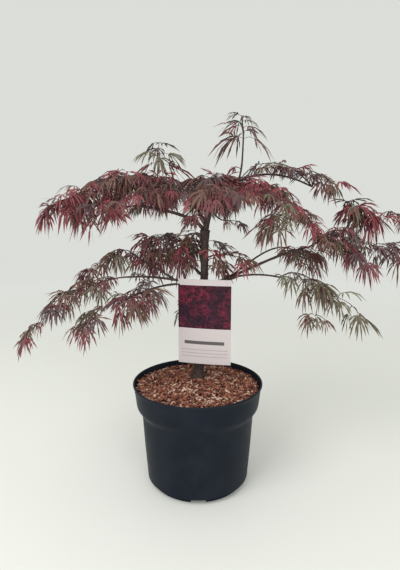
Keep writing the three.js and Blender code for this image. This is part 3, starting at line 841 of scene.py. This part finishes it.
leaf = {
    "lobes": np.radians([-104, -68, -33, 0, 33, 68, 104]),
    "lobeLength": np.array([0.50, 0.80, 0.96, 1.0, 0.96, 0.80, 0.50]) * 42 * mm,
    "along": np.array([0, 0.24, 0.34, 0.58, 1.0]),  # stations from the stalk to the tip
    "halfWidth": np.array([0.15, 0.90, 0.50, 1.0, 0.0]) * 1.55 * mm,  # widened twice, as by teeth
    "tilt": 0.35,  # radians that a leaf hangs below the slope of its stalk
    "droop": 1.5,  # how hard a lobe is drawn down towards its tip
    # how leaves and lobes differ: spreads are in radians, pairs are least and greatest shares
    "tiltSpread": 0.25, "lean": 0.4, "roll": 0.6,
    "open": (0.55, 0.95), "openSpread": 0.13, "hang": (0.5, 1.25), "hangSpread": 0.3,
    "longer": (0.82, 1.12), "wider": (0.85, 1.15),
    "stalkRadius": 0.42 * mm,
}


def buildLeaves():
    # A leaf is a stalk that bends over, and seven lobes fanned in a tilted plane round its end.
    # Along a lobe, at share s, the way is cos(fan) * ahead + sin(fan) * side - droop * s^1.3 * up,
    # and the fan closes by 0.25 * s of itself: the midrib is the running sum of those steps, and
    # each edge is half a width to the side.
    data = np.array(leafNodes)
    place, azimuth, rise, stalk, size = data[:, :3], data[:, 3], data[:, 4], data[:, 5], data[:, 6]
    tint = data[:, 7].astype(int)
    n, lobes, k = len(data), len(leaf["lobes"]), len(leaf["along"])
    tilt = leaf["tilt"] + dice.normal(0, leaf["tiltSpread"], n)
    slopes = (rise + 0.3)[:, None] - np.linspace(0.1, 0.9, 2) * (0.3 + tilt)[:, None]
    steps = heading(azimuth[:, None], slopes) * (stalk / 2)[:, None, None]
    line = place[:, None] + np.concatenate([np.zeros((n, 1, 3)), np.cumsum(steps, 1)], 1)
    stalkPoints, stalkFaces = tubes(line, np.full((n, 3), leaf["stalkRadius"]), 3)

    ahead = heading(azimuth, rise - tilt)
    side, over = leaningAxes(ahead, dice.normal(0, leaf["lean"], n))
    s = leaf["along"]
    middle = ((s[1:] + s[:-1]) / 2)[:, None]
    length = leaf["lobeLength"] * size[:, None] * dice.uniform(*leaf["longer"], (n, lobes))
    fan = leaf["lobes"] * dice.uniform(*leaf["open"], (n, 1))
    fan = (fan + dice.normal(0, leaf["openSpread"], (n, lobes)))[..., None, None] * (1 - 0.25 * middle)
    droop = leaf["droop"] * dice.uniform(*leaf["hang"], (n, 1))
    droop = (droop + dice.normal(0, leaf["hangSpread"], (n, lobes)))[..., None, None]
    fall = droop * middle**1.3 * up
    way = unit(np.cos(fan) * ahead[:, None, None] + np.sin(fan) * side[:, None, None] - fall)
    step = way * (np.diff(s) * length[..., None])[..., None]
    rib = line[:, None, -1:] + np.concatenate([np.zeros((n, lobes, 1, 3)), np.cumsum(step, 2)], 2)
    way = np.concatenate([way, way[:, :, -1:]], 2)
    edge = unit(np.cross(over[:, None, None], way))
    roll = dice.normal(0, leaf["roll"], (n, lobes, 1, 1))
    edge = edge * np.cos(roll) + np.cross(way, edge) * np.sin(roll)
    half = leaf["halfWidth"] * size[:, None, None] ** 0.5 * dice.uniform(*leaf["wider"], (n, lobes, 1))
    half = half[..., None]
    # a lobe is a flat strip: its left edge, its right edge as far as the second widening, its tip
    blade = np.concatenate([rib + half * edge, (rib - half * edge)[:, :, :-1]], 2)
    i = np.arange(k - 2)
    quads = np.stack([i + 1, i, k + i, k + i + 1], -1)
    tips = np.array([[k - 1, k - 2, 2 * k - 2]])
    perLobe, perStalk = blade.shape[2], stalkPoints.shape[1]
    for number, (name, colour) in enumerate(tints.items()):
        mine = tint == number
        m = int(mine.sum())
        if not m:
            continue
        blades, stalks = blade[mine].reshape(-1, 3), stalkPoints[mine].reshape(-1, 3)
        faces = [repeatFaces(f, m * lobes, perLobe) for f in (quads, tips)]
        faces += [repeatFaces(f[: len(f) // n], m, perStalk) + len(blades) for f in stalkFaces]
        skin = leafSkin(f"maple leaf, {name}", colour)
        meshPiece(f"leaves_{name}", np.concatenate([blades, stalks]), faces, [skin])
        print(name, m, "leaves")


buildLeaves()
print("leaves done")


card = {
    "width": 90 * mm, "height": 145 * mm, "thick": 0.5 * mm, "curl": 2.6 * mm, "sag": 1.5 * mm,
    "turn": -12, "y": -18 * mm,
    # printed bands: the shares of the width and the height that each covers, and the number of its
    # material: 1 the picture, 2 the grey bar, 3 the rules
    "bands": [((0.0, 1.0), (0.425, 0.93), 1), ((0.12, 0.88), (0.235, 0.275), 2),
              *[((0.06, 0.94), band, 3) for band in ((0.165, 0.172), (0.125, 0.132), (0.085, 0.092))]],
}


def buildCard():
    # at shares u and v of the width and height, the front stands out from a turned plane by
    # curl * ((2u - 1)^2 - 0.4) + sag * 4 v (1 - v) * (0.5 - u); the back is the same surface
    # moved in by the thickness
    low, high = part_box("hanging_card")
    u = np.unique(np.concatenate([np.linspace(0, 1, 25), *[b[0] for b in card["bands"]]]))
    v = np.unique(np.concatenate([np.linspace(0, 1, 37), *[b[1] for b in card["bands"]]]))
    gu, gv = np.meshgrid(u, v)
    x = (gu - 0.5) * card["width"]
    z = high[2] - card["height"] * (1 - gv)
    out = card["curl"] * ((2 * gu - 1) ** 2 - 0.4) + card["sag"] * 4 * gv * (1 - gv) * (0.5 - gu)
    cos, sin = math.cos(math.radians(card["turn"])), math.sin(math.radians(card["turn"]))
    middle = (low[0] + high[0]) / 2
    layers = []
    for depth in (-card["thick"] / 2, card["thick"] / 2):
        y = depth + out
        layers.append(np.stack([middle + x * cos - y * sin, card["y"] + x * sin + y * cos, z], -1))
    count = gu.size
    index = np.arange(count).reshape(gu.shape)
    front = np.stack([index[:-1, :-1], index[:-1, 1:], index[1:, 1:], index[1:, :-1]], -1).reshape(-1, 4)
    back = front[:, ::-1] + count
    border = np.concatenate([index[0, :], index[1:, -1], index[-1, -2::-1], index[-2:0:-1, 0]])
    nextOne = np.roll(border, -1)
    rim = np.stack([border, border + count, nextOne + count, nextOne], -1)
    cu = ((gu[:-1, :-1] + gu[1:, 1:]) / 2).ravel()
    cv = ((gv[:-1, :-1] + gv[1:, 1:]) / 2).ravel()
    picks = np.zeros(len(front) + len(back) + len(rim), dtype=int)
    for (u0, u1), (v0, v1), number in card["bands"]:
        picks[: len(front)][(cu > u0) & (cu < u1) & (cv > v0) & (cv < v1)] = number
    stock = [cardStock("laminated card, pale", "#b7aeae"), printedPicture(),
             cardStock("laminated card, grey ink", "#4b4648"),
             cardStock("laminated card, fine rule", "#8f888a")]
    points = np.concatenate([p.reshape(-1, 3) for p in layers])
    made = meshPiece("card", points, [front, back, rim], stock, picks)
    made.data.set_sharp_from_angle(angle=math.radians(40))
    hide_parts("hanging_card")


buildCard()


strap = {
    "around": 32, "z": 330 * mm, "radius": 11.6 * mm,  # of the loop round the stem
    "tilt": 1.5 * mm,  # how much higher the loop is at the back
    "section": (0.6 * mm, 2.2 * mm),  # half its thickness and half its height
    "tongueRadius": 1.3 * mm, "tongueEnd": -16.5 * mm, "tongueRise": 2 * mm,
}


def buildStrap():
    # a soft plastic tie: a loop round the stem and a tongue to the back of the card
    stem = limbs["stem"][0]
    x, y, z = stem[np.argmin(np.abs(stem[:, 2] - strap["z"]))]
    radius, rise = strap["radius"], strap["tongueRise"]
    a = ringAngles(strap["around"])
    loop = np.stack([x + radius * np.cos(a), y + radius * np.sin(a), z + strap["tilt"] * np.sin(a)], -1)
    b = ringAngles(6)
    section = np.stack([np.cos(b), np.sin(b)], -1) * strap["section"]
    outward = np.stack([np.cos(a), np.sin(a), 0 * a], -1)
    points = loop[:, None] + section[:, :1] * outward[:, None] + section[:, 1:] * up
    faces = gridFaces(len(a) + 1, 6) % (len(a) * 6)  # the last ring is the first again
    start, end = np.array([x, y - radius, z]), np.array([x, strap["tongueEnd"], z + rise])
    path = smoothLine([start, (start + end) / 2 + rise * up, end], 8)
    more, moreFaces = tubes(path[None], np.full((1, 8), strap["tongueRadius"]), 6)
    points = np.concatenate([points.reshape(-1, 3), more.reshape(-1, 3)])
    faces = [faces, *[f + len(a) * 6 for f in moreFaces]]
    meshPiece("card_strap", points, faces, [cardStock("soft plastic tie, white", "#cfc9c9", 0.4)])


buildStrap()
print("card done")


studio = {
    "floor": "#e6e7e2", "world": "#e6e8e3", "worldStrength": 0.9,
    "fade": (0.7, 2.6),  # the floor turns into the world between these distances
    "rings": (0.3, 0.8, 2.0, 5.0, 9.0), "around": 96, "floorZ": -0.3 * mm,
    "lights": [("key", (-1.1, -1.3, 1.9), 1.3, 26), ("front", (0.5, -2.2, 0.9), 2.0, 30)],
    "aim": (0, 0, 0.3),  # what the lights are turned to
    "camera": (4 * mm, -734 * mm, 473 * mm), "lens": 27.8, "sensor": 36, "dip": 9.6,
}


def buildFloor():
    # a painted floor that glows into the colour of the room as it goes away from the pot
    made, shader, place = startMaterial("painted floor, pale", studio["floor"], 0.6)
    shader.inputs["Emission Color"].default_value = linear(studio["world"])
    away = addNode("ShaderNodeVectorMath", {"operation": "LENGTH"}, {0: place})
    fade = addRange((away, "Value"), *studio["fade"])
    fade[0].interpolation_type = "SMOOTHSTEP"
    wire(mixColours(fade, studio["floor"], "#000000"), shader, "Base Color")
    glow = addNode("ShaderNodeMath", {"operation": "MULTIPLY", 1: studio["worldStrength"]}, {0: fade})
    wire((glow, 0), shader, "Emission Strength")
    wire(addRange(fade, 0.0, 1.0, 0.3, 0.0), shader, "Specular IOR Level")
    a, rings, columns = ringAngles(studio["around"]), np.array(studio["rings"])[:, None], studio["around"]
    x, y = rings * np.cos(a), rings * np.sin(a)
    points = np.stack([x, y, 0 * x + studio["floorZ"]], -1).reshape(-1, 3).tolist()
    quads = gridFaces(len(rings), columns)[:, ::-1]
    fan = fanFaces(len(points), 0, columns)
    mesh = bpy.data.meshes.new("floor")
    mesh.from_pydata([*points, [0, 0, studio["floorZ"]]], [], quads.tolist() + fan.tolist())
    mesh.materials.append(made)
    floor = addObject("floor", mesh)


def lightRoom():
    world = bpy.data.worlds.new("studio")
    world.use_nodes = True
    bpy.context.scene.world = world
    background = world.node_tree.nodes["Background"]
    background.inputs["Color"].default_value = linear(studio["world"])
    background.inputs["Strength"].default_value = studio["worldStrength"]
    for name, spot, size, power in studio["lights"]:
        light = bpy.data.lights.new(name, "AREA")
        light.size, light.energy = size, power
        lamp = addObject(name, light)
        lamp.location = spot
        lamp.rotation_euler = (Vector(studio["aim"]) - Vector(spot)).to_track_quat("-Z", "Y").to_euler()


def aimCamera():
    lens = bpy.data.cameras.new("camera")
    lens.lens, lens.sensor_width = studio["lens"], studio["sensor"]
    camera = addObject("camera", lens)
    camera.location = studio["camera"]
    camera.rotation_euler = (math.radians(90 - studio["dip"]), 0, 0)
    bpy.context.scene.camera = camera
    bpy.context.scene.view_settings.view_transform = "Standard"


buildFloor()
lightRoom()
aimCamera()
